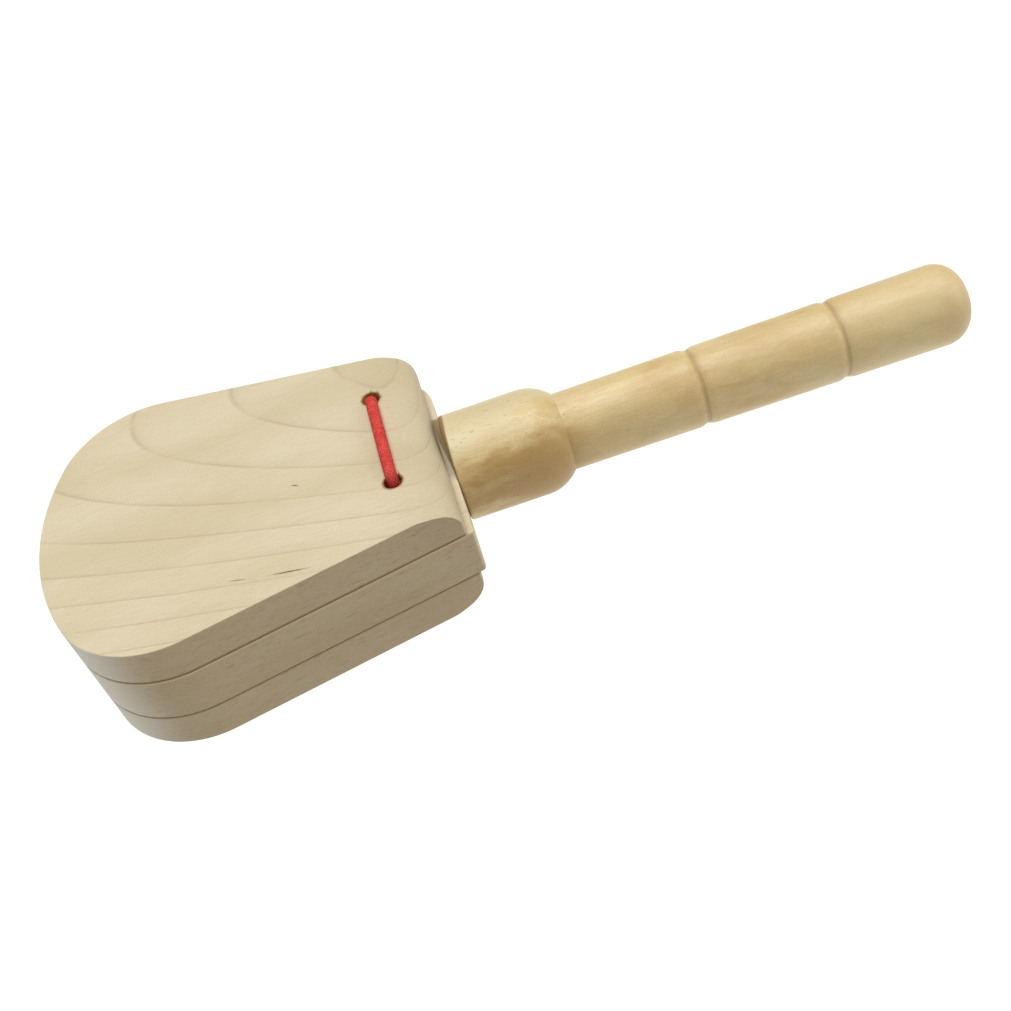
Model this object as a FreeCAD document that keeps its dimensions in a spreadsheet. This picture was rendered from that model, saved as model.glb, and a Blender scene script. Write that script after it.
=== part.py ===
import FreeCAD, Part
import math
import os
import Sketcher

# Handle castanet: a turned handle carries a middle board, and a clapper rocks on
# its heel against each face of that board. One elastic cord runs through all
# three boards and holds them together.
#
# Row frame: +X towards the end of the handle, +Z up. The origin is the centre of
# the bounding box's base, so the bottom clapper rests on z = 0.
# Each board is drawn with its heel at x = 0, its tip at -X and its inner or lower
# face at z = 0, then placed.

os.makedirs("parts", exist_ok=True)
doc = FreeCAD.newDocument("castanet")

SIZES = [
    ("board_length", 96.0, "middle board, heel to tip"),
    ("board_width", 82.2, "boards at their widest"),
    ("nose_radius", 66.9, "arc across the tip"),
    ("cheek_radius", 23.7, "arcs between the nose and the sides"),
    ("side_taper", 10.9, "degrees between each side and the handle's axis"),
    ("left_corner", 11.0, "middle board's left heel corner, in plan"),
    ("right_corner", 1.2, "middle board's right heel corner, in plan"),
    ("clapper_corner", 1.0, "clappers' heel corners, in plan"),
    ("middle_thickness", 12.6, "middle board"),
    ("clapper_thickness", 9.5, "each clapper"),
    ("setback", 1.6, "the clappers end this far short of the middle board's heel"),
    ("parting_gap", 0.25, "between a closed clapper and the middle board"),
    ("arris", 0.3, "eased outer edges of the boards"),
    ("parting_arris", 0.15, "eased edges of the boards where they meet"),
    ("heel_edge", 1.0, "rounded inner edge that a clapper rocks on"),
    ("roundover_drop", 7.6, "depth of the rounded outer heel"),
    ("roundover_long", 18.0, "radius where the rounded heel leaves the face"),
    ("roundover_short", 6.7, "radius where the rounded heel meets the end"),
    ("hole_distance", 13.5, "cord holes, from the middle board's heel"),
    ("hole_spacing", 30.2, "between the two cord holes"),
    ("hole_radius", 2.2, "cord holes"),
    ("cord_radius", 1.25, "elastic cord"),
    ("cord_reach", 3.0, "how far a clapper's cord reaches into the middle board"),
    ("cord_gap", 0.3, "between two lengths of the cord inside a hole"),
    ("knot_pocket_radius", 4.2, "counterbore that holds a knot"),
    ("knot_pocket_depth", 5.6, "counterbore that holds a knot"),
    ("knot_radius", 3.5, "stopper knot"),
    ("knot_length", 4.8, "stopper knot"),
    ("handle_length", 127.8, "from the heel to the end of the handle"),
    ("collar_radius", 13.0, "thick end of the handle"),
    ("collar_length", 19.5, "straight part of the collar"),
    ("collar_ease", 0.8, "rounded edge of the collar at the board"),
    ("shoulder_radius", 10.4, "rounded shoulder behind the collar"),
    ("shoulder_end", 27.3, "where the shoulder meets the neck"),
    ("neck_radius", 9.45, "neck and start of the grip"),
    ("waist_radius", 9.6, "grip at the first groove"),
    ("grip_radius", 9.8, "grip at the second groove"),
    ("tail_radius", 9.95, "grip before the rounded end"),
    ("first_groove", 60.7, "from the heel"),
    ("second_groove", 95.5, "from the heel"),
    ("groove_depth", 0.6, "turned V grooves"),
    ("groove_half", 1.7, "half the width of a groove"),
    ("groove_soft", 2.5, "rounding of a groove's edges"),
    ("end_radius", 6.6, "rounded end of the handle"),
    ("tenon_radius", 4.0, "tenon glued into the middle board"),
    ("tenon_length", 30.0, "tenon glued into the middle board"),
    ("tenon_lead", 0.8, "chamfer on the tenon's nose"),
    ("glue_gap", 0.05, "around the tenon"),
    ("glue_well", 1.0, "space past the tenon's nose"),
]

sheet = doc.addObject("Spreadsheet::Sheet", "size")
for row, (alias, value, meaning) in enumerate(SIZES, start=1):
    sheet.set(f"A{row}", meaning)
    sheet.set(f"B{row}", str(value))
    sheet.setAlias(f"B{row}", alias)
doc.recompute()

# Expressions over the sheet that more than one piece uses.
HEEL_X = "(size.board_length - size.handle_length) / 2"
CLAPPER_HEEL_X = f"{HEEL_X} - size.setback"
LOWER_JOINT_Z = "size.clapper_thickness"
MIDDLE_BASE_Z = "size.clapper_thickness + size.parting_gap"
AXIS_Z = f"{MIDDLE_BASE_Z} + size.middle_thickness / 2"
UPPER_JOINT_Z = f"{MIDDLE_BASE_Z} + size.middle_thickness + size.parting_gap"
CLAPPER_HOLE_DISTANCE = "size.hole_distance - size.setback"
LEFT_HOLE_Y = "size.hole_spacing / 2"
RIGHT_HOLE_Y = "-(size.hole_spacing / 2)"

UPSIDE_DOWN = FreeCAD.Rotation(FreeCAD.Vector(1, 0, 0), 180)
ORIGIN = (-1, 1)
X_AXIS = -1
START, END, CENTRE = 1, 2, 3
LEVEL_TOLERANCE = 1e-3

# ---------------------------------------------------------------- small helpers


def value_of(expression):
    return float(sheet.evalExpression(expression))


def flat(x, y):
    return FreeCAD.Vector(x, y, 0)


def place(thing, x, y, z, rotation=None):
    """Puts a piece in the row frame, with its position bound to the sheet."""
    if rotation is not None:
        thing.Placement = FreeCAD.Placement(FreeCAD.Vector(), rotation)
    for axis, expression in zip("xyz", (x, y, z)):
        thing.setExpression(f"Placement.Base.{axis}", expression)


def new_body(label):
    body = doc.addObject("PartDesign::Body", label)
    body.Label = label
    return body


def new_sketch(body, name, plane, lift=None):
    """A sketch on one of the body's own origin planes, lifted along its normal."""
    sketch = body.newObject("Sketcher::SketchObject", f"{body.Label}_{name}")
    origin_plane = next(f for f in body.Origin.OriginFeatures if f.Role == plane)
    sketch.AttachmentSupport = [(origin_plane, "")]
    sketch.MapMode = "FlatFace"
    if lift is not None:
        sketch.setExpression("AttachmentOffset.Base.z", lift)
    return sketch


def constrain(sketch, kind, *where, to=None):
    """Adds a constraint, its value bound to the expression 'to' where it has one."""
    if to is None:
        sketch.addConstraint(Sketcher.Constraint(kind, *where))
        return
    index = sketch.addConstraint(Sketcher.Constraint(kind, *where, value_of(to)))
    sketch.setExpression(f"Constraints[{index}]", to)


def fix_point(sketch, where, x, y):
    """Holds a sketch point at (x, y) from the origin. Each is an expression, one with a
    leading minus for the negative side, or None for zero."""
    for kind, level, amount in (("DistanceX", "Vertical", x), ("DistanceY", "Horizontal", y)):
        if amount is None:
            constrain(sketch, level, *ORIGIN, *where)
        elif amount.startswith("-"):
            constrain(sketch, kind, *where, *ORIGIN, to=amount[1:])
        else:
            constrain(sketch, kind, *ORIGIN, *where, to=amount)


def point_at(x, y):
    return flat(value_of(x or "0"), value_of(y or "0"))


def add_circle(sketch, x, y, radius):
    circle = Part.Circle(point_at(x, y), FreeCAD.Vector(0, 0, 1), value_of(radius))
    index = sketch.addGeometry(circle, False)
    fix_point(sketch, (index, CENTRE), x, y)
    constrain(sketch, "Radius", index, to=radius)


def add_path(sketch, stops, closed=True):
    """Lines and arcs from stop to stop. A stop is (x, y) where a line leaves it, or
    (x, y, radius, side) where an arc does: side is 1 for an arc whose centre lies to the
    left of its chord, and -1 for one whose centre lies to the right."""
    points = [point_at(stop[0], stop[1]) for stop in stops]
    last = len(stops) if closed else len(stops) - 1
    pieces = []
    for number in range(last):
        start, end = points[number], points[(number + 1) % len(points)]
        if len(stops[number]) == 2:
            index = sketch.addGeometry(Part.LineSegment(start, end), False)
            pieces.append((index, START, END))
            continue
        radius, side = value_of(stops[number][2]), stops[number][3]
        chord = end - start
        left = flat(-chord.y, chord.x).normalize()
        middle = (start + end) / 2
        centre = middle + left * side * max(radius**2 - (chord.Length / 2) ** 2, 0) ** 0.5
        crown = centre - left * side * radius
        index = sketch.addGeometry(Part.Arc(start, crown, end), False)
        pieces.append((index, START, END) if side > 0 else (index, END, START))
        constrain(sketch, "Radius", index, to=stops[number][2])
    for number, (index, first, second) in enumerate(pieces):
        fix_point(sketch, (index, first), *stops[number][:2])
        if closed or number + 1 < len(pieces):
            follower, follower_first, _ = pieces[(number + 1) % len(pieces)]
            constrain(sketch, "Coincident", index, second, follower, follower_first)
    if not closed:
        index, _, second = pieces[-1]
        fix_point(sketch, (index, second), *stops[-1][:2])


def pad(body, sketch, length):
    feature = body.newObject("PartDesign::Pad", f"{sketch.Name}_pad")
    feature.Profile = sketch
    feature.setExpression("Length", length)


def pocket(body, sketch, depth=None, both_ways=False, backwards=False):
    """Cuts the sketch into the body, right through it where no depth is given."""
    doc.recompute()
    before = body.Shape.Volume
    feature = body.newObject("PartDesign::Pocket", f"{sketch.Name}_pocket")
    feature.Profile = sketch
    feature.Reversed = backwards
    if depth is None:
        feature.Type = "ThroughAll"
        feature.Midplane = both_ways
    else:
        feature.setExpression("Length", depth)
    doc.recompute()
    if body.Shape.Volume >= before:
        raise RuntimeError(f"{feature.Name} cuts nothing")


def ease_edges(body, name, radius, wanted):
    """Rounds the edges of the body that the test 'wanted' picks."""
    doc.recompute()
    base = body.Tip
    names = [f"Edge{n}" for n, edge in enumerate(base.Shape.Edges, start=1) if wanted(edge)]
    if not names:
        raise RuntimeError(f"{body.Label} has no edges for {name}")
    feature = body.newObject("PartDesign::Fillet", f"{body.Label}_{name}")
    feature.Base = (base, names)
    feature.setExpression("Radius", radius)
    doc.recompute()


def lies_at(edge, height):
    box = edge.BoundBox
    return max(abs(box.ZMin - height), abs(box.ZMax - height)) < LEVEL_TOLERANCE


# ------------------------------------------------------------------- the boards


def board_outline(sketch, setback):
    """The plan that the three boards share: a nose arc, two cheeks, and straight sides that
    taper to a square heel. setback shortens the board from the heel, which stays at x = 0."""
    nose_x = f"-(size.board_length - size.nose_radius - {setback})"
    cheek_y = "size.board_width / 2 - size.cheek_radius"

    # Where the arcs start, near enough for the constraints to settle.
    nose_r = value_of("size.nose_radius")
    cheek_r = value_of("size.cheek_radius")
    nose = point_at(nose_x, None)
    rise = value_of(cheek_y)
    cheek = flat(nose.x - ((nose_r - cheek_r) ** 2 - rise**2) ** 0.5, rise)
    taper = math.radians(value_of("size.side_taper"))
    side_turn = math.pi / 2 - taper
    nose_turn = math.atan2(cheek.y, cheek.x - nose.x)
    side_start = cheek + flat(math.cos(side_turn), math.sin(side_turn)) * cheek_r
    heel = flat(0, side_start.y + side_start.x * math.tan(taper))

    def arc(centre, radius, first, last):
        return Part.ArcOfCircle(Part.Circle(centre, FreeCAD.Vector(0, 0, 1), radius), first, last)

    def across(point):
        return flat(point.x, -point.y)

    full = 2 * math.pi
    pieces = [
        Part.LineSegment(across(heel), heel),
        Part.LineSegment(heel, side_start),
        arc(cheek, cheek_r, side_turn, nose_turn),
        arc(nose, nose_r, nose_turn, full - nose_turn),
        arc(across(cheek), cheek_r, full - nose_turn, full - side_turn),
        Part.LineSegment(across(side_start), across(heel)),
    ]
    for piece in pieces:
        sketch.addGeometry(piece, False)
    end_line, left_side, left_cheek, tip, right_cheek, right_side = range(len(pieces))
    constrain(sketch, "Coincident", end_line, END, left_side, START)
    constrain(sketch, "Coincident", right_side, END, end_line, START)
    for first, second in ((left_side, left_cheek), (left_cheek, tip)):
        constrain(sketch, "Tangent", first, END, second, START)
    for first, second in ((tip, right_cheek), (right_cheek, right_side)):
        constrain(sketch, "Tangent", first, END, second, START)
    constrain(sketch, "Radius", tip, to="size.nose_radius")
    constrain(sketch, "Radius", left_cheek, to="size.cheek_radius")
    constrain(sketch, "Symmetric", left_cheek, CENTRE, right_cheek, CENTRE, X_AXIS)
    constrain(sketch, "Symmetric", end_line, START, end_line, END, X_AXIS)
    fix_point(sketch, (tip, CENTRE), nose_x, None)
    constrain(sketch, "Vertical", *ORIGIN, end_line, END)
    constrain(sketch, "DistanceY", *ORIGIN, left_cheek, CENTRE, to=cheek_y)
    corner = "(180 deg - size.side_taper * 1 deg)"
    constrain(sketch, "Angle", X_AXIS, left_side, to=corner)


def round_corner(body, name, radius, side):
    """Rounds the upright heel corner on one side: 1 is the left, -1 the right."""

    def wanted(edge):
        box = edge.BoundBox
        upright = box.XLength + box.YLength < LEVEL_TOLERANCE
        return upright and abs(box.XMin) < LEVEL_TOLERANCE and box.YMin * side > 0

    ease_edges(body, name, radius, wanted)


def drill_pair(body, name, distance, radius, lift=None, depth=None):
    """A pair of round holes upwards from the height 'lift'."""
    sketch = new_sketch(body, name, "XY_Plane", lift)
    for y in (LEFT_HOLE_Y, RIGHT_HOLE_Y):
        add_circle(sketch, f"-({distance})", y, radius)
    pocket(body, sketch, depth=depth, backwards=True)


def make_middle_board():
    """The board on the handle, with cord holes and a blind bore for the tenon."""
    body = new_body("middle_board")
    plan = new_sketch(body, "plan", "XY_Plane")
    board_outline(plan, "0")
    pad(body, plan, "size.middle_thickness")
    round_corner(body, "left_corner", "size.left_corner", 1)
    round_corner(body, "right_corner", "size.right_corner", -1)
    top = value_of("size.middle_thickness")
    ease_edges(body, "top_arris", "size.arris", lambda edge: lies_at(edge, top))
    ease_edges(body, "lower_arris", "size.parting_arris", lambda edge: lies_at(edge, 0))
    drill_pair(body, "cord_holes", "size.hole_distance", "size.hole_radius")
    bore = new_sketch(body, "tenon_bore", "YZ_Plane")
    add_circle(bore, None, "size.middle_thickness / 2", "size.tenon_radius + size.glue_gap")
    pocket(body, bore, depth="size.tenon_length + size.glue_well")
    place(body, HEEL_X, "0", MIDDLE_BASE_Z)


def shape_clapper_heel(body):
    """Rounds the clapper's heel: two arcs over the outer face, a small one below."""
    over = "size.roundover_long - size.roundover_short"
    fall = "size.roundover_long - size.roundover_drop"
    run = f"sqrt(({over})^2 - ({fall})^2)"
    face = "size.clapper_thickness"
    end_height = f"{face} - size.roundover_drop"
    start = f"-(size.roundover_short + {run})"
    change_x = f"-(size.roundover_short + {run} - size.roundover_long * {run} / ({over}))"
    change_z = f"{face} - size.roundover_long + size.roundover_long * ({fall}) / ({over})"
    clear_x = "size.setback"
    clear_z = f"{face} + size.setback"
    outer = new_sketch(body, "roundover", "XZ_Plane")
    add_path(
        outer,
        [
            (None, end_height, "size.roundover_short", 1),
            (change_x, change_z, "size.roundover_long", 1),
            (start, face),
            (start, clear_z),
            (clear_x, clear_z),
            (clear_x, end_height),
        ],
    )
    pocket(body, outer, both_ways=True)
    inner = new_sketch(body, "rocking_edge", "XZ_Plane")
    add_path(
        inner,
        [
            ("-size.heel_edge", None, "size.heel_edge", 1),
            (None, "size.heel_edge"),
            (clear_x, "size.heel_edge"),
            (clear_x, "-size.heel_edge"),
            ("-size.heel_edge", "-size.heel_edge"),
        ],
    )
    pocket(body, inner, both_ways=True)


def make_clapper(label):
    """A clapper with its inner face at z = 0 and its rounded outer face above."""
    body = new_body(label)
    plan = new_sketch(body, "plan", "XY_Plane")
    board_outline(plan, "size.setback")
    pad(body, plan, "size.clapper_thickness")
    round_corner(body, "left_corner", "size.clapper_corner", 1)
    round_corner(body, "right_corner", "size.clapper_corner", -1)
    top = value_of("size.clapper_thickness")
    ease_edges(body, "outer_arris", "size.arris", lambda edge: lies_at(edge, top))
    ease_edges(body, "inner_arris", "size.parting_arris", lambda edge: lies_at(edge, 0))
    shape_clapper_heel(body)
    drill_pair(body, "cord_holes", CLAPPER_HOLE_DISTANCE, "size.hole_radius")
    return body


def make_top_clapper():
    body = make_clapper("top_clapper")
    place(body, CLAPPER_HEEL_X, "0", UPPER_JOINT_Z)


def make_bottom_clapper():
    """Drawn like the top one and turned over, with a pocket for a knot at each hole."""
    body = make_clapper("bottom_clapper")
    floor = "size.clapper_thickness - size.knot_pocket_depth"
    drill_pair(
        body, "knot_pockets", CLAPPER_HOLE_DISTANCE, "size.knot_pocket_radius", lift=floor
    )
    place(body, CLAPPER_HEEL_X, "0", LOWER_JOINT_Z, UPSIDE_DOWN)


# ------------------------------------------------------------------- the handle


def groove_stops(place_x, radius):
    """A V groove across the profile, centred at place_x."""
    return [
        (f"{place_x} + size.groove_half", radius),
        (place_x, f"{radius} - size.groove_depth"),
        (f"{place_x} - size.groove_half", radius),
    ]


def make_handle():
    """One turning about the X axis: tenon, collar, shoulder, neck, three grip sections."""
    body = new_body("handle")
    profile = new_sketch(body, "profile", "XZ_Plane")
    flat_end = "size.tail_radius - size.end_radius"
    stops = [
        ("-size.tenon_length", None),
        ("size.handle_length", None),
        ("size.handle_length", flat_end, "size.end_radius", 1),
        ("size.handle_length - size.end_radius", "size.tail_radius"),
        *groove_stops("size.second_groove", "size.grip_radius"),
        *groove_stops("size.first_groove", "size.waist_radius"),
        ("size.shoulder_end", "size.neck_radius", "size.shoulder_radius", 1),
        ("size.collar_length", "size.collar_radius"),
        ("size.collar_ease", "size.collar_radius", "size.collar_ease", 1),
        (None, "size.collar_radius - size.collar_ease"),
        (None, "size.tenon_radius"),
        ("-(size.tenon_length - size.tenon_lead)", "size.tenon_radius"),
        ("-size.tenon_length", "size.tenon_radius - size.tenon_lead"),
    ]
    add_path(profile, stops)
    turning = body.newObject("PartDesign::Revolution", "handle_turning")
    turning.Profile = profile
    turning.ReferenceAxis = (profile, ["H_Axis"])
    turning.Angle = 360
    lips = [value_of(stop[0]) for stop in stops[4:10] if "groove_half" in stop[0]]

    def is_lip(edge):
        box = edge.BoundBox
        return box.XLength < LEVEL_TOLERANCE and min(abs(box.XMin - lip) for lip in lips) < LEVEL_TOLERANCE

    ease_edges(body, "groove_lips", "size.groove_soft", is_lip)
    place(body, HEEL_X, "0", AXIS_Z)


# --------------------------------------------------------------------- the cord


def make_top_cord():
    """The cord over the top clapper: up one hole, across the face and down the other.
    Drawn in a plane across the board, with the clapper's inner face at height 0."""
    body = new_body("elastic_cord_top")
    foot = "-(size.cord_reach + size.parting_gap)"
    face = "size.clapper_thickness"
    level = f"{face} + size.cord_radius"
    bend = "size.hole_radius"
    bend_start = f"{level} - {bend}"
    route = new_sketch(body, "route", "YZ_Plane")
    add_path(
        route,
        [
            (LEFT_HOLE_Y, foot),
            (LEFT_HOLE_Y, bend_start, bend, 1),
            (f"{LEFT_HOLE_Y} - {bend}", level),
            (f"-(size.hole_spacing / 2 - {bend})", level, bend, 1),
            (RIGHT_HOLE_Y, bend_start),
            (RIGHT_HOLE_Y, foot),
        ],
        closed=False,
    )
    section = new_sketch(body, "section", "XY_Plane", foot)
    add_circle(section, None, LEFT_HOLE_Y, "size.cord_radius")
    sweep = body.newObject("PartDesign::AdditivePipe", "elastic_cord_top_sweep")
    sweep.Profile = section
    sweep.Spine = route
    doc.recompute()
    place(body, f"{CLAPPER_HEEL_X} - ({CLAPPER_HOLE_DISTANCE})", "0", UPPER_JOINT_Z)
    route_length = route.Shape.Length
    expected = math.pi * value_of("size.cord_radius") ** 2 * route_length
    print(f"top cord: volume over section times length {body.Shape.Volume / expected:.4f}")


def cord_leg(name, side_y, base_z, length):
    """A straight length of the cord on one hole's axis."""
    leg = doc.addObject("Part::Cylinder", name)
    leg.setExpression("Radius", "size.cord_radius")
    leg.setExpression("Height", length)
    place(leg, f"{HEEL_X} - size.hole_distance", side_y, base_z)
    return leg


def make_middle_cord():
    """The two straight lengths of the cord held in the middle board."""
    length = "size.middle_thickness - 2 * (size.cord_reach + size.cord_gap)"
    base_z = f"{MIDDLE_BASE_Z} + size.cord_reach + size.cord_gap"
    left = cord_leg("middle_cord_left", LEFT_HOLE_Y, base_z, length)
    right = cord_leg("middle_cord_right", RIGHT_HOLE_Y, base_z, length)
    both = doc.addObject("Part::Fuse", "elastic_cord_middle")
    both.Base = left
    both.Tool = right
    both.Label = "elastic_cord_middle"


def make_bottom_cord():
    """The cord's two ends: each comes down through the bottom clapper to a stopper knot."""
    knot_z = "size.knot_pocket_depth - size.knot_length / 2"
    length = f"{MIDDLE_BASE_Z} + size.cord_reach - ({knot_z})"
    solids = []
    for side, side_y in (("left", LEFT_HOLE_Y), ("right", RIGHT_HOLE_Y)):
        solids.append(cord_leg(f"bottom_cord_{side}", side_y, knot_z, length))
        knot = doc.addObject("Part::Ellipsoid", f"knot_{side}")
        knot.setExpression("Radius1", "size.knot_length / 2")
        knot.setExpression("Radius2", "size.knot_radius")
        knot.setExpression("Radius3", "size.knot_radius")
        place(knot, f"{HEEL_X} - size.hole_distance", side_y, knot_z)
        solids.append(knot)
    ends = doc.addObject("Part::MultiFuse", "elastic_cord_bottom")
    ends.Shapes = solids
    ends.Label = "elastic_cord_bottom"


# ---------------------------------------------------------------- build and write

make_middle_board()
make_handle()
make_top_clapper()
make_bottom_clapper()
make_top_cord()
make_middle_cord()
make_bottom_cord()
doc.recompute()

NODES = [
    "middle_board",
    "handle",
    "top_clapper",
    "bottom_clapper",
    "elastic_cord_top",
    "elastic_cord_middle",
    "elastic_cord_bottom",
]

failed = [thing.Name for thing in doc.Objects if {"Invalid", "Error"} & set(thing.State)]
if failed:
    raise RuntimeError(f"these objects failed: {failed}")
for label in NODES:
    shape = doc.getObject(label).Shape
    if shape.isNull() or not shape.isValid():
        raise RuntimeError(f"{label} has no valid shape")
for label in NODES:
    shape = doc.getObject(label).Shape
    shape.exportStep(f"parts/{label}.step")
    box = shape.optimalBoundingBox(False)
    print(f"{label}: {len(shape.Solids)} solid, {shape.Volume:.0f} mm3")
    print(f"  x {box.XMin:.2f} {box.XMax:.2f}, y {box.YMin:.2f} {box.YMax:.2f}, z {box.ZMin:.2f} {box.ZMax:.2f}")
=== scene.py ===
import math
import random

import bmesh
import bpy
from mathutils import Matrix, Vector


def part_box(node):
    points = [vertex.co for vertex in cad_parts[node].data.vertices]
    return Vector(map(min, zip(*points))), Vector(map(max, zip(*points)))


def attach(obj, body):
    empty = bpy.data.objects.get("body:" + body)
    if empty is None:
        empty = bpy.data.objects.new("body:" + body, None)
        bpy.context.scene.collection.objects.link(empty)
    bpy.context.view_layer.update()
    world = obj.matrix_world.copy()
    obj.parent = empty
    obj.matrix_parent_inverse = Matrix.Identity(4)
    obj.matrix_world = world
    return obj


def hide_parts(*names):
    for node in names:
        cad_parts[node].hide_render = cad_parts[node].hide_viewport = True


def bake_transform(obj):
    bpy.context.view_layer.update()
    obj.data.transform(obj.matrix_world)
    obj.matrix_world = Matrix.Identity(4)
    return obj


# A handle castanet. The boards and the handle keep the CAD's shapes and get their woods here.
# The red cord is rebuilt as a braided sheath, and torn fibres are added at the cord holes.

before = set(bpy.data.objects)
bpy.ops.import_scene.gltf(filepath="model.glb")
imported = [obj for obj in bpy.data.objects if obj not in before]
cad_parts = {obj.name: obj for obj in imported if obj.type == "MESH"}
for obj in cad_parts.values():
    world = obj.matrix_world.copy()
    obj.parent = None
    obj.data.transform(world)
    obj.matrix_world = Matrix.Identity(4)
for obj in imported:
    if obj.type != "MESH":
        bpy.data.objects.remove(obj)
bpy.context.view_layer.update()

# ------------------------------------------------------------------ the frame
# Everything is in metres in the CAD's frame: +X towards the end of the handle, +Z up.

MM = 0.001
LEFT_SIDE, RIGHT_SIDE = 1, -1

middle_low, middle_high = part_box("middle_board")
top_low, top_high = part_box("top_clapper")
bottom_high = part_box("bottom_clapper")[1]
strand_low, strand_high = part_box("elastic_cord_middle")
knots_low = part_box("elastic_cord_bottom")[0]

HEEL_X = middle_high.x
CORD_RADIUS = (strand_high.x - strand_low.x) / 2
HOLE_X = (strand_high.x + strand_low.x) / 2
HOLE_Y = {
    LEFT_SIDE: strand_high.y - CORD_RADIUS,
    RIGHT_SIDE: strand_low.y + CORD_RADIUS,
}
AXIS_Z = (middle_low.z + middle_high.z) / 2
HOLE_RADIUS = 2.2 * MM
KNOT_LENGTH = 4.8 * MM

# ------------------------------------------------------- a small node language


class Nodes:
    """Builds a material's node tree. An input is a number, a colour, a vector or a socket."""

    def __init__(self, name):
        self.material = bpy.data.materials.new(name)
        self.material.use_nodes = True
        self.tree = self.material.node_tree
        self.shader = self.tree.nodes["Principled BSDF"]
        coordinates = self.tree.nodes.new("ShaderNodeTexCoord")
        self.place = self.vector("SCALE", coordinates.outputs["Object"], scale=1 / MM)
        self.x, self.y, self.z = self.parts(self.place)

    def feed(self, socket, value):
        if isinstance(value, bpy.types.NodeSocket):
            self.tree.links.new(value, socket)
        else:
            socket.default_value = value

    def add(self, kind, inputs, **settings):
        node = self.tree.nodes.new(kind)
        for name, value in settings.items():
            setattr(node, name, value)
        for key, value in inputs.items():
            self.feed(node.inputs[key], value)
        return node

    def math(self, operation, first, second=0.0):
        node = self.add("ShaderNodeMath", {0: first, 1: second}, operation=operation)
        return node.outputs[0]

    def plus(self, first, second):
        return self.math("ADD", first, second)

    def minus(self, first, second):
        return self.math("SUBTRACT", first, second)

    def times(self, first, second):
        return self.math("MULTIPLY", first, second)

    def vector(self, operation, first, second=(0, 0, 0), scale=1.0):
        inputs = {0: first, 1: second, 3: scale}
        node = self.add("ShaderNodeVectorMath", inputs, operation=operation)
        is_number = operation in ("LENGTH", "DISTANCE", "DOT_PRODUCT")
        return node.outputs["Value" if is_number else "Vector"]

    def parts(self, vector):
        """The X, Y and Z of a vector."""
        return self.add("ShaderNodeSeparateXYZ", {0: vector}).outputs

    def joined(self, x, y, z):
        return self.add("ShaderNodeCombineXYZ", {0: x, 1: y, 2: z}).outputs[0]

    def stretched(self, factors, shift=(0, 0, 0)):
        """The place in millimetres, times a factor on each axis."""
        return self.vector("ADD", self.vector("MULTIPLY", self.place, factors), shift)

    def normal(self):
        return self.add("ShaderNodeNewGeometry", {}).outputs["Normal"]

    def noise(self, vector, detail=2.0, roughness=0.5, distortion=0.0):
        inputs = {"Vector": vector, "Scale": 1.0, "Detail": detail}
        inputs.update({"Roughness": roughness, "Distortion": distortion})
        return self.add("ShaderNodeTexNoise", inputs).outputs["Fac"]

    def span(self, value, low, high, to_low=0.0, to_high=1.0):
        """A smooth step: to_low where the value is at 'low' and to_high where it is at 'high'."""
        inputs = {0: value, 1: low, 2: high, 3: to_low, 4: to_high}
        node = self.add("ShaderNodeMapRange", inputs, interpolation_type="SMOOTHSTEP", clamp=True)
        return node.outputs[0]

    def ramp(self, value, stops):
        node = self.add("ShaderNodeValToRGB", {0: value})
        elements = node.color_ramp.elements
        while len(elements) < len(stops):
            elements.new(0.5)
        for element, (position, level) in zip(elements, stops):
            element.position = position
            element.color = (level, level, level, 1)
        return node.outputs["Color"]

    def mix(self, factor, first, second, blend="MIX"):
        inputs = {0: factor, 6: first, 7: second}
        node = self.add("ShaderNodeMix", inputs, data_type="RGBA", blend_type=blend)
        return node.outputs[2]

    def bump(self, height, distance, strength):
        inputs = {"Height": height, "Distance": distance, "Strength": strength}
        return self.add("ShaderNodeBump", inputs).outputs["Normal"]

    def edge_mask(self, radius):
        """1 along sharp edges, 0 on flats."""
        rounded = self.add("ShaderNodeBevel", {"Radius": radius}, samples=6).outputs["Normal"]
        alike = self.vector("DOT_PRODUCT", rounded, self.normal())
        return self.span(self.minus(1.0, alike), 0.02, 0.25)

    def set_shader(self, **inputs):
        """Feeds the shader's sockets, each named with underscores for its spaces."""
        for name, value in inputs.items():
            self.feed(self.shader.inputs[name.replace("_", " ")], value)


def rgb(red, green, blue):
    """An sRGB colour, 0 to 255, as the linear colour that nodes take."""

    def linear(level):
        level /= 255
        return level / 12.92 if level <= 0.04045 else ((level + 0.055) / 1.055) ** 2.4

    return (linear(red), linear(green), linear(blue), 1.0)


# ------------------------------------------------------------------- the woods
# The grain runs along X, so noise is stretched that way. Places and factors in the materials
# are in millimetres.

TOP_FACE_Z = top_high.z / MM
HEEL_MM = HEEL_X / MM
HOLE_MM = HOLE_RADIUS / MM
GROOVES_MM = (60.7, 95.5)
TOP_PITH_RISE = 120.0


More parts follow.
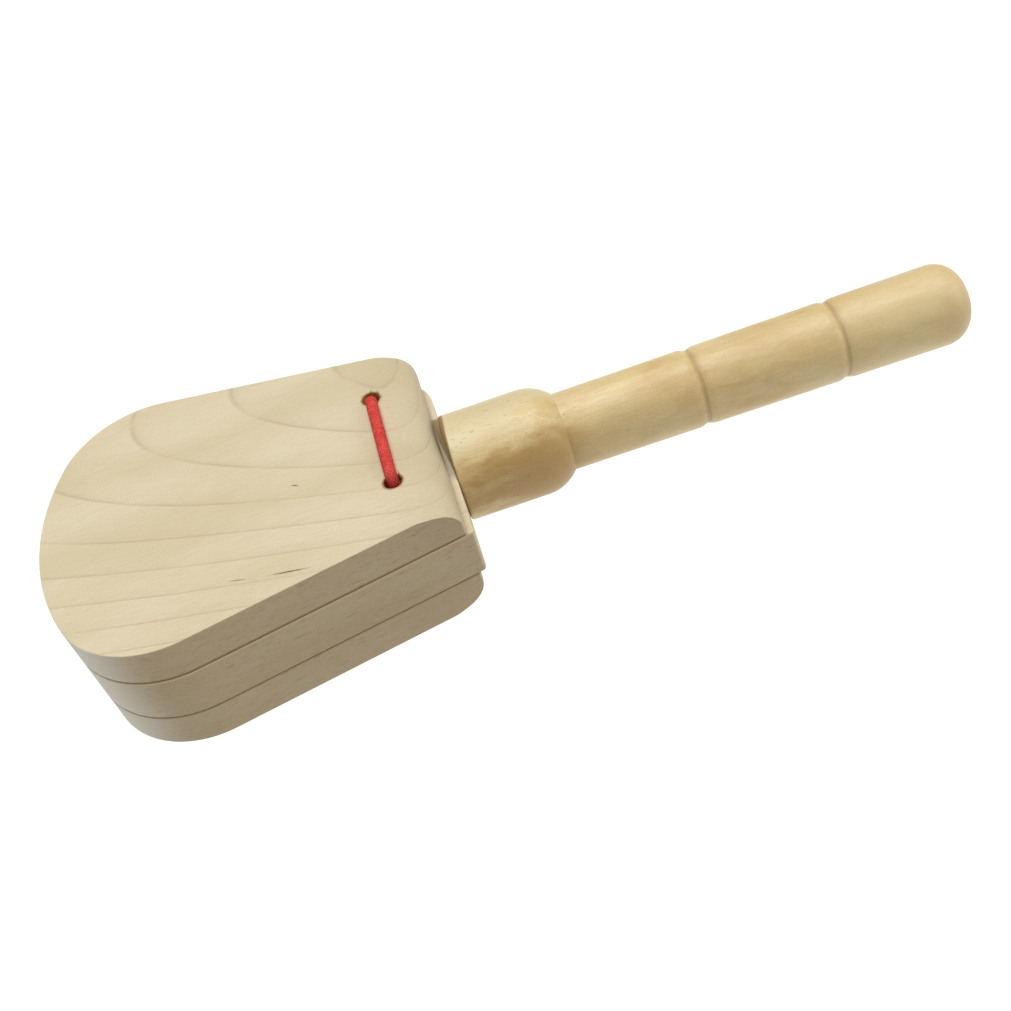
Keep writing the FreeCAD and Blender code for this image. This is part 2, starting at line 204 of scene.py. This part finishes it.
def growth_rings(nodes, pith, tilt, first, spacing, wobble, seed):
    """Distance from a tilted pith line, in rings from the one whose radius is 'first'. pith
    is (x, y, z) and tilt is how much the line drifts and climbs per millimetre along X, so
    that a flat face cuts the rings as long curves and nested arches."""
    along = nodes.minus(nodes.x, pith[0])
    across = nodes.minus(nodes.minus(nodes.y, pith[1]), nodes.times(along, tilt[0]))
    above = nodes.minus(nodes.minus(nodes.z, pith[2]), nodes.times(along, tilt[1]))
    squares = nodes.plus(nodes.times(across, across), nodes.times(above, above))
    distance = nodes.math("SQRT", squares)
    slow = nodes.noise(nodes.stretched((0.016, 0.05, 0.05), (seed, seed, seed)))
    quick = nodes.noise(nodes.stretched((0.11, 0.3, 0.3), (seed, 0, seed)))
    wander = nodes.times(nodes.minus(slow, 0.5), wobble)
    jitter = nodes.times(nodes.minus(quick, 0.5), wobble * 0.13)
    distance = nodes.plus(nodes.plus(distance, wander), jitter)
    return nodes.math("DIVIDE", nodes.minus(distance, first), spacing)


def streak(nodes, start, end, half_width, seed):
    """A thin mineral streak on the top face from start to end, both (x, y)."""
    centre = ((start[0] + end[0]) / 2, (start[1] + end[1]) / 2, TOP_FACE_Z)
    half_length = (end[0] - start[0]) / 2
    slope = (end[1] - start[1]) / (end[0] - start[0])
    x, y, z = nodes.parts(nodes.vector("SUBTRACT", nodes.place, centre))
    along = nodes.math("DIVIDE", x, half_length)
    across = nodes.math("DIVIDE", nodes.minus(y, nodes.times(x, slope)), half_width)
    deep = nodes.math("DIVIDE", z, half_width)
    ragged = nodes.noise(nodes.stretched((0.8, 4.0, 1.0), (seed, 0, 0)), detail=3.0, roughness=0.7)
    size = nodes.plus(nodes.vector("LENGTH", nodes.joined(along, across, deep)), ragged)
    return nodes.span(size, 1.5, 0.8)


def near_holes(nodes, ragged, full, clear):
    """1 out to the radius 'full' from a cord hole's axis, fading to 0 at the radius 'clear'."""
    masks = []
    for side in (LEFT_SIDE, RIGHT_SIDE):
        centre = nodes.joined(HOLE_X / MM, HOLE_Y[side] / MM, nodes.z)
        distance = nodes.plus(nodes.vector("DISTANCE", nodes.place, centre), ragged)
        masks.append(nodes.span(distance, clear, full))
    return nodes.math("MAXIMUM", *masks)


def collar_crescent(nodes, ragged):
    """Brown crescent on the middle board's top edge, next to the collar."""
    inward = nodes.minus(HEEL_MM, nodes.x)
    across = nodes.plus(nodes.y, nodes.times(ragged, 2.0))
    width = nodes.span(across, -13.0, 9.0, 0.05, 1.7)
    crescent = nodes.span(nodes.minus(width, inward), 0.0, 0.25)
    left_end = nodes.span(nodes.y, 12.6, 11.4)
    right_end = nodes.span(nodes.y, -14.5, -13.5)
    return nodes.times(crescent, nodes.times(left_end, right_end))


def collar_brown_end(nodes, ragged):
    """The collar's brown end, wide on its upper left and narrow on its lower right."""
    along = nodes.minus(nodes.x, HEEL_MM)
    across = nodes.plus(nodes.y, nodes.times(ragged, 1.5))
    width = nodes.span(across, -13.0, 6.0, 0.35, 1.3)
    return nodes.span(nodes.minus(width, along), 0.0, 0.35)


def maple_colour(nodes, late, fibre, speck, seed):
    """Pale maple: soft clouds, fibre, silver rays, grit, growth lines and dark specks."""
    cloud = nodes.noise(nodes.stretched((0.02, 0.07, 0.09), (0, seed, 2)), detail=3.0)
    grit = nodes.noise(nodes.stretched((2.4, 3.4, 3.4), (seed, seed, 4)), roughness=0.8)
    ray = nodes.noise(nodes.stretched((0.5, 5.0, 1.2), (5, 0, seed)))
    colour = nodes.mix(nodes.span(cloud, 0.3, 0.7), rgb(208, 196, 167), rgb(200, 186, 153))
    colour = nodes.mix(nodes.span(fibre, 0.3, 0.75, 0.0, 0.30), colour, rgb(180, 162, 126))
    colour = nodes.mix(nodes.span(ray, 0.62, 0.78, 0.0, 0.20), colour, rgb(218, 208, 184))
    colour = nodes.mix(nodes.span(grit, 0.35, 0.75, 0.0, 0.30), colour, rgb(170, 156, 128))
    colour = nodes.mix(nodes.times(late, 0.34), colour, rgb(146, 118, 84))
    return nodes.mix(nodes.span(speck, 0.64, 0.8, 0.0, 0.28), colour, rgb(150, 126, 92))


def side_colour(nodes, colour, lengthways, sawn, seed):
    """Fibre dashes on the sawn long sides, painted shade that darkens those sides, and a painted
    pale grey glare on the faces towards the tip.
    """
    dash = nodes.noise(nodes.stretched((0.16, 1.0, 2.0), (seed, 4, 7)), detail=3.0, roughness=0.7)
    dashed = nodes.times(nodes.span(dash, 0.54, 0.74, 0.0, 0.5), sawn)
    colour = nodes.mix(dashed, colour, rgb(150, 126, 96))
    # Painted shade: the long sides are darker than the top, as light from above falls on them less.
    painted_side_shade = nodes.mix(1.0, colour, (0.72, 0.66, 0.61, 1.0), "MULTIPLY")
    colour = nodes.mix(sawn, colour, painted_side_shade)
    # Painted glare: faces turned towards the tip go pale grey.
    tip_glare = nodes.span(lengthways, -0.15, -0.75, 0.0, 0.6)
    return nodes.mix(tip_glare, colour, rgb(206, 204, 194))


def edge_highlight_colour(nodes, colour, top_z, fibre, sawn):
    """A painted highlight: a pale line along the upper edge of the side, where its arris catches
    the light.
    """
    below = nodes.minus(top_z, nodes.z)
    highlight_band = nodes.times(nodes.span(below, 0.05, 0.2), nodes.span(below, 0.75, 0.4))
    highlight_band = nodes.times(highlight_band, nodes.span(fibre, 0.2, 0.6, 0.35, 0.8))
    return nodes.mix(nodes.times(highlight_band, sawn), colour, rgb(196, 174, 122))


def heel_shade_colour(nodes, colour, heel_x):
    """Painted shade: the top darkens towards the heel, where it rounds over."""
    painted_heel_shade = nodes.span(nodes.x, heel_x - 22.0, heel_x - 2.0, 0.0, 0.32)
    return nodes.mix(painted_heel_shade, colour, nodes.mix(1.0, colour, (0.72, 0.66, 0.56, 1.0), "MULTIPLY"))


def parting_shadow_colour(nodes, colour, height, strength, fibre):
    """Painted shadow: a dark line along the gap where two boards meet."""
    away = nodes.math("ABSOLUTE", nodes.minus(nodes.z, height))
    away = nodes.plus(away, nodes.times(nodes.minus(fibre, 0.5), 0.4))
    return nodes.mix(nodes.span(away, 0.5, 0.15, 0.0, strength), colour, rgb(112, 86, 48))


def board_wood(
    name, pith, tilt, first, spacing, seed, streaks=(), parting_shadow=None, highlight_edge=None, heel_shade_end=None, collar_crescent_on=False
):
    """Pale close-grained board with dark drilled holes. pith, tilt, first and spacing set its
    growth lines. A streak is (start, end, half width, strength); the parting shadow is the
    (height, strength) of a painted shadow line where two boards meet. The highlight edge is the
    height of a painted highlight along a pale upper edge, and the heel shade end the place
    where painted shade darkens the top towards the heel."""
    nodes = Nodes(name)
    rings = growth_rings(nodes, pith, tilt, first, spacing, wobble=0.5, seed=seed)
    phase = nodes.math("FRACT", rings)
    stops = [(0.0, 1.0), (0.04, 0.0), (0.6, 0.0), (0.9, 0.14), (0.965, 0.35), (1.0, 1.0)]
    late = nodes.ramp(phase, stops)
    fade = nodes.noise(nodes.stretched((0.03, 0.1, 0.1), (seed, 3, 1)), detail=1.0)
    late = nodes.times(late, nodes.span(fade, 0.3, 0.62, 0.35, 1.0))
    # The growth lines hardly show on the upright sides.
    lengthways, sideways, upwards = nodes.parts(nodes.normal())
    late = nodes.times(late, nodes.span(nodes.math("ABSOLUTE", upwards), 0.2, 0.6, 0.4, 1.0))
    sawn = nodes.span(nodes.math("ABSOLUTE", sideways), 0.5, 0.95)
    fibre = nodes.noise(nodes.stretched((0.22, 3.2, 3.2), (seed, 1, 0)), detail=4.0, roughness=0.65)
    speck = nodes.noise(nodes.stretched((1.3, 4.0, 4.0), (2, seed, 0)), detail=3.0, roughness=0.7)

    colour = maple_colour(nodes, late, fibre, speck, seed)
    for number, (start, end, half_width, strength) in enumerate(streaks):
        mark = streak(nodes, start, end, half_width, seed + number)
        colour = nodes.mix(nodes.times(mark, strength), colour, rgb(84, 56, 38))
    colour = side_colour(nodes, colour, lengthways, sawn, seed)
    worn = nodes.times(nodes.edge_mask(0.5 * MM), nodes.span(speck, 0.35, 0.6, 0.1, 0.35))
    colour = nodes.mix(worn, colour, rgb(196, 178, 138))
    ragged = nodes.times(nodes.minus(speck, 0.5), 0.9)
    rim = near_holes(nodes, ragged, full=HOLE_MM + 0.1, clear=HOLE_MM + 0.55)
    colour = nodes.mix(nodes.times(rim, 0.75), colour, rgb(122, 84, 44))
    # Painted highlight along the upper edge of the side.
    if highlight_edge is not None:
        colour = edge_highlight_colour(nodes, colour, highlight_edge, fibre, sawn)
    # Painted shade towards the heel.
    if heel_shade_end is not None:
        colour = heel_shade_colour(nodes, colour, heel_shade_end)
    # Painted shadow along the parting line.
    if parting_shadow is not None:
        colour = parting_shadow_colour(nodes, colour, *parting_shadow, fibre)
    if collar_crescent_on:
        crescent_mark = collar_crescent(nodes, nodes.minus(fibre, 0.5))
        colour = nodes.mix(nodes.times(crescent_mark, 0.85), colour, rgb(136, 108, 64))
    # The bore's own brown, painted lighter to stand in for light bouncing into the shaded hole.
    bore_and_painted_light = near_holes(nodes, 0.0, full=HOLE_MM + 0.02, clear=HOLE_MM + 0.06)
    colour = nodes.mix(bore_and_painted_light, colour, nodes.mix(speck, rgb(158, 112, 54), rgb(220, 172, 98)))

    height = nodes.minus(nodes.times(fibre, 0.6), nodes.times(late, 0.35))
    height = nodes.plus(height, nodes.times(speck, -0.35))
    nodes.set_shader(
        Base_Color=colour,
        Roughness=nodes.span(fibre, 0.2, 0.8, 0.52, 0.70),
        Normal=nodes.bump(height, 0.06 * MM, 0.7),
        Specular_IOR_Level=0.25,
    )
    return nodes.material


def heartwood_and_shade_colour(nodes, colour, along, cloud):
    """The collar is paler above, its pale wood with a painted highlight, and browner below, its
    heartwood band with painted shade. Also gives the mask that is 1 on the collar and fades past
    it."""
    near = nodes.span(along, 24.0, 34.0, 1.0, 0.25)
    low_side = nodes.minus(nodes.y, nodes.times(cloud, 14.0))
    low_side = nodes.minus(low_side, nodes.times(along, 0.25))
    heart_and_shade = nodes.times(nodes.span(low_side, -17.5, -22.5), near)
    colour = nodes.mix(nodes.times(heart_and_shade, 0.72), colour, rgb(160, 120, 58))
    sap_and_highlight = nodes.times(nodes.span(low_side, -17.5, -12.0), near)
    return nodes.mix(nodes.times(sap_and_highlight, 0.7), colour, rgb(204, 190, 152)), near


def handle_wood():
    """Turned yellow wood: soft clouds along the grain, pores, lathe marks, dark grooves."""
    nodes = Nodes("handle_wood")
    pith = (0.0, -34.0, AXIS_Z / MM - 22.0)
    rings = growth_rings(
        nodes, pith, tilt=(0.03, -0.05), first=0.0, spacing=6.5, wobble=6.0, seed=41.0
    )
    phase = nodes.math("FRACT", rings)
    late = nodes.ramp(phase, [(0.0, 0.6), (0.06, 0.0), (0.5, 0.0), (0.96, 1.0)])
    cloud = nodes.noise(nodes.stretched((0.05, 0.12, 0.12), (7, 2, 5)), detail=3.0, roughness=0.6)
    flame = nodes.noise(nodes.stretched((0.10, 0.30, 0.16), (1, 9, 4)), distortion=0.8)
    fibre = nodes.noise(nodes.stretched((0.20, 2.6, 2.6), (3, 3, 3)), detail=4.0, roughness=0.65)
    grit = nodes.noise(nodes.stretched((2.0, 3.4, 3.4), (1, 5, 4)), roughness=0.8)
    pore = nodes.noise(nodes.stretched((0.7, 3.0, 3.0), (8, 1, 6)), roughness=0.6)
    pit = nodes.noise(nodes.stretched((0.8, 1.6, 1.6), (4, 6, 2)), detail=1.0)
    dash = nodes.noise(nodes.stretched((0.5, 2.4, 2.4), (6, 2, 3)), roughness=0.7)
    turning = nodes.noise(nodes.stretched((7.0, 0.12, 0.12), (0, 0, 9)), detail=3.0, roughness=0.6)
    along = nodes.minus(nodes.x, HEEL_MM)

    colour = nodes.mix(nodes.span(cloud, 0.35, 0.68), rgb(216, 197, 148), rgb(209, 184, 130))
    colour = nodes.mix(nodes.span(flame, 0.45, 0.72, 0.0, 0.30), colour, rgb(184, 150, 96))
    colour = nodes.mix(nodes.span(fibre, 0.35, 0.72, 0.0, 0.26), colour, rgb(180, 148, 94))
    colour = nodes.mix(nodes.span(grit, 0.40, 0.72, 0.0, 0.32), colour, rgb(172, 142, 94))
    colour = nodes.mix(nodes.times(late, 0.07), colour, rgb(160, 124, 76))
    # The wood pales towards the end of the grip.
    colour = nodes.mix(nodes.span(along, 70.0, 120.0, 0.0, 0.32), colour, rgb(228, 212, 168))
    # Painted highlight above and painted shade below on the collar, over its own heartwood band.
    colour, near = heartwood_and_shade_colour(nodes, colour, along, cloud)
    colour = nodes.mix(nodes.span(pore, 0.68, 0.80, 0.0, 0.35), colour, rgb(150, 116, 72))
    pitted = nodes.times(nodes.span(pit, 0.76, 0.80), near)
    colour = nodes.mix(nodes.times(pitted, 0.7), colour, rgb(92, 62, 38))
    dashed = nodes.times(nodes.span(dash, 0.60, 0.74, 0.0, 0.5), near)
    colour = nodes.mix(dashed, colour, rgb(150, 112, 64))
    for groove in GROOVES_MM:
        off_centre = nodes.math("ABSOLUTE", nodes.minus(along, groove))
        colour = nodes.mix(nodes.span(off_centre, 1.0, 0.2, 0.0, 0.38), colour, rgb(140, 106, 62))
    brown_end = collar_brown_end(nodes, nodes.minus(fibre, 0.5))
    colour = nodes.mix(nodes.times(brown_end, 0.85), colour, rgb(126, 96, 54))
    colour = nodes.mix(nodes.span(turning, 0.6, 0.8, 0.0, 0.08), colour, rgb(160, 126, 80))

    height = nodes.plus(nodes.times(fibre, 0.5), nodes.times(turning, 0.35))
    height = nodes.minus(height, nodes.span(pore, 0.68, 0.80, 0.0, 0.5))
    nodes.set_shader(
        Base_Color=colour,
        Roughness=nodes.span(cloud, 0.3, 0.7, 0.38, 0.48),
        Normal=nodes.bump(height, 0.05 * MM, 0.6),
        Specular_IOR_Level=0.42,
    )
    return nodes.material


def splinter_wood():
    """Torn fibres, from tan to brown."""
    nodes = Nodes("splinter_wood")
    speck = nodes.noise(nodes.stretched((3.0, 3.0, 3.0)))
    nodes.set_shader(
        Base_Color=nodes.mix(nodes.span(speck, 0.4, 0.6), rgb(190, 146, 96), rgb(118, 74, 42)),
        Roughness=nodes.span(speck, 0.3, 0.7, 0.6, 0.8),
        Normal=nodes.bump(speck, 0.03 * MM, 0.6),
    )
    return nodes.material


def cord_weave():
    """Red textile sheath: matt thread with darker hollows and paler fibres."""
    nodes = Nodes("elastic_cord")
    fuzz = nodes.noise(nodes.stretched((2.6, 2.6, 2.6)), detail=3.0, roughness=0.85)
    patch = nodes.noise(nodes.stretched((0.4, 0.4, 0.4), (2, 2, 2)))
    colour = nodes.mix(nodes.span(patch, 0.35, 0.65), rgb(206, 76, 65), rgb(197, 62, 56))
    colour = nodes.mix(nodes.span(fuzz, 0.47, 0.36, 0.0, 0.75), colour, rgb(150, 30, 32))
    colour = nodes.mix(nodes.span(fuzz, 0.52, 0.66, 0.0, 0.50), colour, rgb(234, 122, 112))
    nodes.set_shader(
        Base_Color=colour,
        Roughness=nodes.span(fuzz, 0.3, 0.7, 0.75, 0.95),
        Normal=nodes.bump(fuzz, 0.14 * MM, 1.0),
        Specular_IOR_Level=0.12,
    )
    return nodes.material


def floor_paint():
    """Matt white, a trace uneven."""
    nodes = Nodes("studio_floor")
    soft = nodes.noise(nodes.stretched((0.01, 0.01, 0.01)))
    colour = nodes.mix(soft, rgb(243, 243, 242), rgb(247, 247, 246))
    nodes.set_shader(Base_Color=colour, Roughness=0.7)
    return nodes.material


def paint(node, material):
    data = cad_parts[node].data
    data.materials.clear()
    data.materials.append(material)


# The top face cuts rings of about 125 to 147 mm radius: long lines that fan out towards the
# tip and close into arches round the left hole.
paint(
    "top_clapper",
    board_wood(
        "top_clapper_wood",
        pith=(0.0, 35.0, TOP_FACE_Z + TOP_PITH_RISE),
        tilt=(-0.002, -0.124),
        first=124.5,
        spacing=3.24,
        seed=11.0,
        streaks=[
            ((-52.1, -5.2), (-49.9, -6.4), 0.32, 0.8),
            ((-61.0, -30.5), (-50.0, -32.6), 0.30, 0.85),
            ((-69.5, -28.2), (-64.0, -29.8), 0.22, 0.6),
        ],
        parting_shadow=(top_low.z / MM, 0.8),
        heel_shade_end=top_high.x / MM,
    ),
)
paint(
    "middle_board",
    board_wood(
        "middle_board_wood",
        pith=(0.0, 20.0, 150.0),
        tilt=(0.03, 0.06),
        first=0.0,
        spacing=3.6,
        seed=23.0,
        collar_crescent_on=True,
        highlight_edge=middle_high.z / MM,
    ),
)
paint(
    "bottom_clapper",
    board_wood(
        "bottom_clapper_wood",
        pith=(-60.0, -14.0, -90.0),
        tilt=(-0.08, 0.16),
        first=0.0,
        spacing=3.4,
        seed=37.0,
        parting_shadow=(bottom_high.z / MM, 0.35),
    ),
)
paint("handle", handle_wood())

# --------------------------------------------------------------- the red cord

# The upper and the lower cord stop short of each other, out of sight in the middle board.
HALF_BREAK = 0.2 * MM
# The upper cord's sheath, a little thicker than the CAD's cord.
SHEATH_RADIUS = 1.1 * CORD_RADIUS
KNOTTED_RADIUS = 1.15 * MM
# Loose hairs of the sheath: how many, where they root, in radii, how far they lean, their
# shortest and longest length in millimetres, and their half width.
HAIR_COUNT = 1500
HAIR_SEED = 5
HAIR_ROOT = 0.97
HAIR_LEAN = 0.9
HAIR_LENGTHS = (0.16, 0.42)
HAIR_HALF = 0.022 * MM
# Torn fibres: how many at each hole, how widely they spread round it, in radians, how far out
# and how deep they root, their shortest and longest length in millimetres, and half width.
FIBRE_COUNT = 30
FIBRE_SEED = 12
FIBRE_SPREAD = 0.8
FIBRE_ROOT = 0.08 * MM
FIBRE_DEPTH = 0.12 * MM
FIBRE_LENGTHS = (0.5, 1.6)
FIBRE_HALF = 0.08 * MM


def smooth_line(points):
    """Closely spaced points along the smooth curve that the control points draw."""
    curve = bpy.data.curves.new("line", "CURVE")
    curve.dimensions = "3D"
    spline = curve.splines.new("NURBS")
    spline.points.add(len(points) - 1)
    for control, point in zip(spline.points, points):
        control.co = (*point, 1)
    spline.order_u = 3
    spline.use_endpoint_u = True
    spline.resolution_u = 24
    holder = bpy.data.objects.new("line", curve)
    bpy.context.scene.collection.objects.link(holder)
    mesh = bpy.data.meshes.new_from_object(holder)
    line = [vertex.co.copy() for vertex in mesh.vertices]
    bpy.data.objects.remove(holder)
    bpy.data.curves.remove(curve)
    bpy.data.meshes.remove(mesh)
    return line


def even_steps(line, step):
    """The same line, resampled at an even step."""
    lengths = [0.0]
    for first, second in zip(line, line[1:]):
        lengths.append(lengths[-1] + (second - first).length)
    count = max(2, round(lengths[-1] / step))
    out, at = [], 0
    for number in range(count + 1):
        wanted = lengths[-1] * number / count
        while at < len(lengths) - 2 and lengths[at + 1] < wanted:
            at += 1
        share = (wanted - lengths[at]) / max(lengths[at + 1] - lengths[at], 1e-12)
        out.append(line[at].lerp(line[at + 1], share))
    return out


def object_from(name, mesh):
    data = bpy.data.meshes.new(name)
    mesh.to_mesh(data)
    mesh.free()
    thing = bpy.data.objects.new(name, data)
    bpy.context.scene.collection.objects.link(thing)
    return thing


def braided_tube(name, lines, radius, hairs=0):
    """A mesh tube along each line, whose wall carries the over-and-under of a round braid.
    hairs is how many loose fibres stand on each line's wall."""
    around = 60
    step = 0.13 * MM
    strands = 10
    pitch = 8.0 * MM
    relief = 0.06 * radius
    mean_crown = 0.5
    chance = random.Random(HAIR_SEED)
    mesh = bmesh.new()
    for line in lines:
        points = even_steps(line, step)
        tangent = (points[1] - points[0]).normalized()
        side = tangent.orthogonal().normalized()
        travelled = 0.0
        rings = []
        axes = []
        for number, point in enumerate(points):
            ahead = points[min(number + 1, len(points) - 1)]
            behind = points[max(number - 1, 0)]
            tangent = (ahead - behind).normalized()
            side = (side - tangent * side.dot(tangent)).normalized()
            other = tangent.cross(side)
            axes.append((point, tangent, side, other))
            if number:
                travelled += (point - points[number - 1]).length
            wind = 2 * math.pi * travelled / pitch
            ring = []
            for spoke in range(around):
                turn = 2 * math.pi * spoke / around
                over = math.cos(strands * (turn + wind))
                under = math.cos(strands * (turn - wind))
                wall = radius + (max(over, under) - mean_crown) * relief
                outward = side * math.cos(turn) + other * math.sin(turn)
                ring.append(mesh.verts.new(point + outward * wall))
            rings.append(ring)
        for first, second in zip(rings, rings[1:]):
            for spoke in range(around):
                after = (spoke + 1) % around
                mesh.faces.new((first[spoke], first[after], second[after], second[spoke]))
        mesh.faces.new(list(reversed(rings[0])))
        mesh.faces.new(rings[-1])
        for _ in range(hairs):
            add_hair(mesh, chance, axes[chance.randrange(len(axes))], radius)
    thing = object_from(name, mesh)
    polygons = thing.data.polygons
    polygons.foreach_set("use_smooth", [True] * len(polygons))
    return thing


def add_spike(mesh, foot, tip, half):
    """A slim closed three-sided spike."""
    along = (tip - foot).normalized()
    side = along.orthogonal().normalized()
    base = []
    for number in range(3):
        turn = 2 * math.pi * number / 3
        base.append(mesh.verts.new(foot + (Matrix.Rotation(turn, 3, along) @ side) * half))
    point = mesh.verts.new(tip)
    mesh.faces.new(list(reversed(base)))
    for number in range(3):
        mesh.faces.new((base[number], base[(number + 1) % 3], point))


def add_hair(mesh, chance, axes, radius):
    """One loose fibre that leans away from the wall of the cord."""
    point, tangent, side, other = axes
    turn = chance.uniform(0, 2 * math.pi)
    outward = side * math.cos(turn) + other * math.sin(turn)
    round_way = tangent.cross(outward)
    foot = point + outward * radius * HAIR_ROOT
    lean = tangent * chance.uniform(-1, 1) + round_way * chance.uniform(-0.8, 0.8)
    way = (outward + lean * HAIR_LEAN).normalized()
    tip = foot + way * chance.uniform(*HAIR_LENGTHS) * MM
    add_spike(mesh, foot, tip, HAIR_HALF)


weave = cord_weave()


def upper_cord():
    """Up through the left holes, across the top clapper and down through the right holes."""
    # Pulled tight, the cord presses a little into the top face, and it lies against the inner
    # side of each hole.
    level = top_high.z + 0.98 * SHEATH_RADIUS
    inset = {LEFT_SIDE: 0.75 * MM, RIGHT_SIDE: 0.5 * MM}
    points = []
    for side in (LEFT_SIDE, RIGHT_SIDE):
        y = HOLE_Y[side]
        inner = y - side * inset[side]
        # From the break up to the hole's rim, and inwards over the top face.
        leg = [
            (HOLE_X, y, AXIS_Z + HALF_BREAK),
            (HOLE_X, y, middle_high.z - 2.0 * MM),
            (HOLE_X, inner, top_low.z + 4.0 * MM),
            (HOLE_X, inner, level - 3.4 * MM),
            (HOLE_X, inner - side * 0.7 * MM, level - 0.8 * MM),
            (HOLE_X, inner - side * 3.0 * MM, level),
        ]
        points += leg if side == LEFT_SIDE else list(reversed(leg))
    line = smooth_line(points)
    thing = braided_tube("red_elastic_cord", [line], SHEATH_RADIUS, hairs=HAIR_COUNT)
    thing.data.materials.append(weave)
    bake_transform(thing)
    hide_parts("elastic_cord_top", "elastic_cord_middle")


def knot_line(centre, side):
    """A tight overhand knot: a trefoil, not quite closed, turned a little to one side."""
    steps = 90
    closed_share = 0.97
    lean = 0.4 * side
    big, small = 1.75 * MM, 0.85 * MM
    rise = 1.25 * small
    line = []
    for number in range(steps + 1):
        turn = 2 * math.pi * number / steps * closed_share
        ring = big + small * math.cos(3 * turn)
        x = ring * math.cos(2 * turn + lean)
        y = ring * math.sin(2 * turn + lean)
        z = rise * math.sin(3 * turn)
        line.append(Vector((centre.x + x, centre.y + y, centre.z + z)))
    return line


def lower_cord():
    """The two ends: down through the bottom clapper to a knot in each pocket."""
    lines = []
    knots = []
    for side in (LEFT_SIDE, RIGHT_SIDE):
        y = HOLE_Y[side]
        centre = Vector((HOLE_X, y, knots_low.z + KNOT_LENGTH / 2))
        top = Vector((HOLE_X, y, AXIS_Z - HALF_BREAK))
        inside_knot = centre + Vector((0, 0, 1.0 * MM))
        lines.append([top, inside_knot])
        knots.append(knot_line(centre, side))
    legs = braided_tube("red_elastic_ends", lines, CORD_RADIUS)
    legs.data.materials.append(weave)
    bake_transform(legs)
    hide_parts("elastic_cord_bottom")
    tied = braided_tube("elastic_knots", knots, KNOTTED_RADIUS)
    tied.data.materials.append(weave)
    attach(tied, "bottom_clapper")


def frayed_rims():
    """Short torn fibres at the top of each cord hole, most of them towards the heel."""
    chance = random.Random(FIBRE_SEED)
    mesh = bmesh.new()
    for side in (LEFT_SIDE, RIGHT_SIDE):
        centre = Vector((HOLE_X, HOLE_Y[side], top_high.z))
        main_turn = 1.0 if side == LEFT_SIDE else 0.5
        for _ in range(FIBRE_COUNT):
            turn = chance.gauss(main_turn, FIBRE_SPREAD)
            outward = Vector((math.cos(turn), math.sin(turn), 0))
            foot = centre + outward * (HOLE_RADIUS + FIBRE_ROOT) - Vector((0, 0, FIBRE_DEPTH))
            rise = Vector((0, 0, chance.uniform(0.25, 0.8)))
            sweep = Vector((-outward.y, outward.x, 0)) * chance.uniform(-0.6, 0.6)
            way = (rise + sweep - outward * chance.uniform(-0.5, 0.8)).normalized()
            tip = foot + way * chance.uniform(*FIBRE_LENGTHS) * MM
            add_spike(mesh, foot, tip, FIBRE_HALF)
    thing = object_from("hole_splinters", mesh)
    thing.data.materials.append(splinter_wood())
    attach(thing, "top_clapper")


upper_cord()
lower_cord()
frayed_rims()

# -------------------------------------------------------- floor, light, camera

FLOOR_DROP = 0.45
FLOOR_SIZE = 9.0
# The world's strength as a light, and as the camera sees it behind the floor.
WORLD_LIGHT = 0.16
WORLD_SEEN = 1.0


def soft_light(name, place, spread, strength):
    """A broad far light from the direction of 'place', spread over so many degrees."""
    light = bpy.data.lights.new(name, "SUN")
    light.angle = math.radians(spread)
    light.energy = strength
    thing = bpy.data.objects.new(name, light)
    bpy.context.scene.collection.objects.link(thing)
    thing.location = place
    thing.rotation_euler = Vector(place).to_track_quat("Z", "Y").to_euler()


def studio():
    """A white floor far enough below for the shadow to dissolve, as if the part were held up:
    the opened bottom clapper and the underside stay in sight."""
    bpy.ops.mesh.primitive_plane_add(size=FLOOR_SIZE, location=(0, 0, -FLOOR_DROP))
    floor = bpy.context.object
    floor.name = "studio_floor"
    floor.data.materials.append(floor_paint())

    # The world lights the part softly and shows as plain white behind the floor.
    world = bpy.data.worlds.new("studio")
    bpy.context.scene.world = world
    world.use_nodes = True
    tree = world.node_tree
    background = tree.nodes["Background"]
    background.inputs["Color"].default_value = (1.0, 1.0, 1.0, 1.0)
    path = tree.nodes.new("ShaderNodeLightPath")
    level = tree.nodes.new("ShaderNodeMapRange")
    level.inputs["To Min"].default_value = WORLD_LIGHT
    level.inputs["To Max"].default_value = WORLD_SEEN
    tree.links.new(path.outputs["Is Camera Ray"], level.inputs["Value"])
    tree.links.new(level.outputs["Result"], background.inputs["Strength"])

    soft_light("overhead", (0.02, 0.18, 1.1), spread=48, strength=3.05)
    soft_light("left", (-0.95, -0.28, 0.35), spread=42, strength=0.38)
    soft_light("right", (0.95, -0.22, 0.50), spread=42, strength=0.90)


def camera():
    """The reference view: azimuth and elevation about the aim point, then a roll."""
    azimuth, elevation, roll = math.radians(-0.95), math.radians(44.51), math.radians(-18.11)
    distance = 298.7 * MM
    aim = Vector((HEEL_X + 8.48 * MM, -17.37 * MM, AXIS_Z))
    back = Vector(
        (
            math.sin(azimuth) * math.cos(elevation),
            -math.cos(azimuth) * math.cos(elevation),
            math.sin(elevation),
        )
    )
    level = Vector((math.cos(azimuth), math.sin(azimuth), 0.0))
    upright = back.cross(level)
    right = level * math.cos(roll) + upright * math.sin(roll)
    up = back.cross(right)
    data = bpy.data.cameras.new("camera")
    data.sensor_width = 36.0
    data.lens = 46.59
    data.clip_start = 0.01
    thing = bpy.data.objects.new("camera", data)
    bpy.context.scene.collection.objects.link(thing)
    turn = Matrix((right, up, back)).transposed()
    thing.matrix_world = Matrix.Translation(aim + back * distance) @ turn.to_4x4()
    bpy.context.scene.camera = thing


studio()
camera()
bpy.context.scene.view_settings.view_transform = "Standard"

# --------------------------------------------------------------------- the end

bpy.context.view_layer.update()
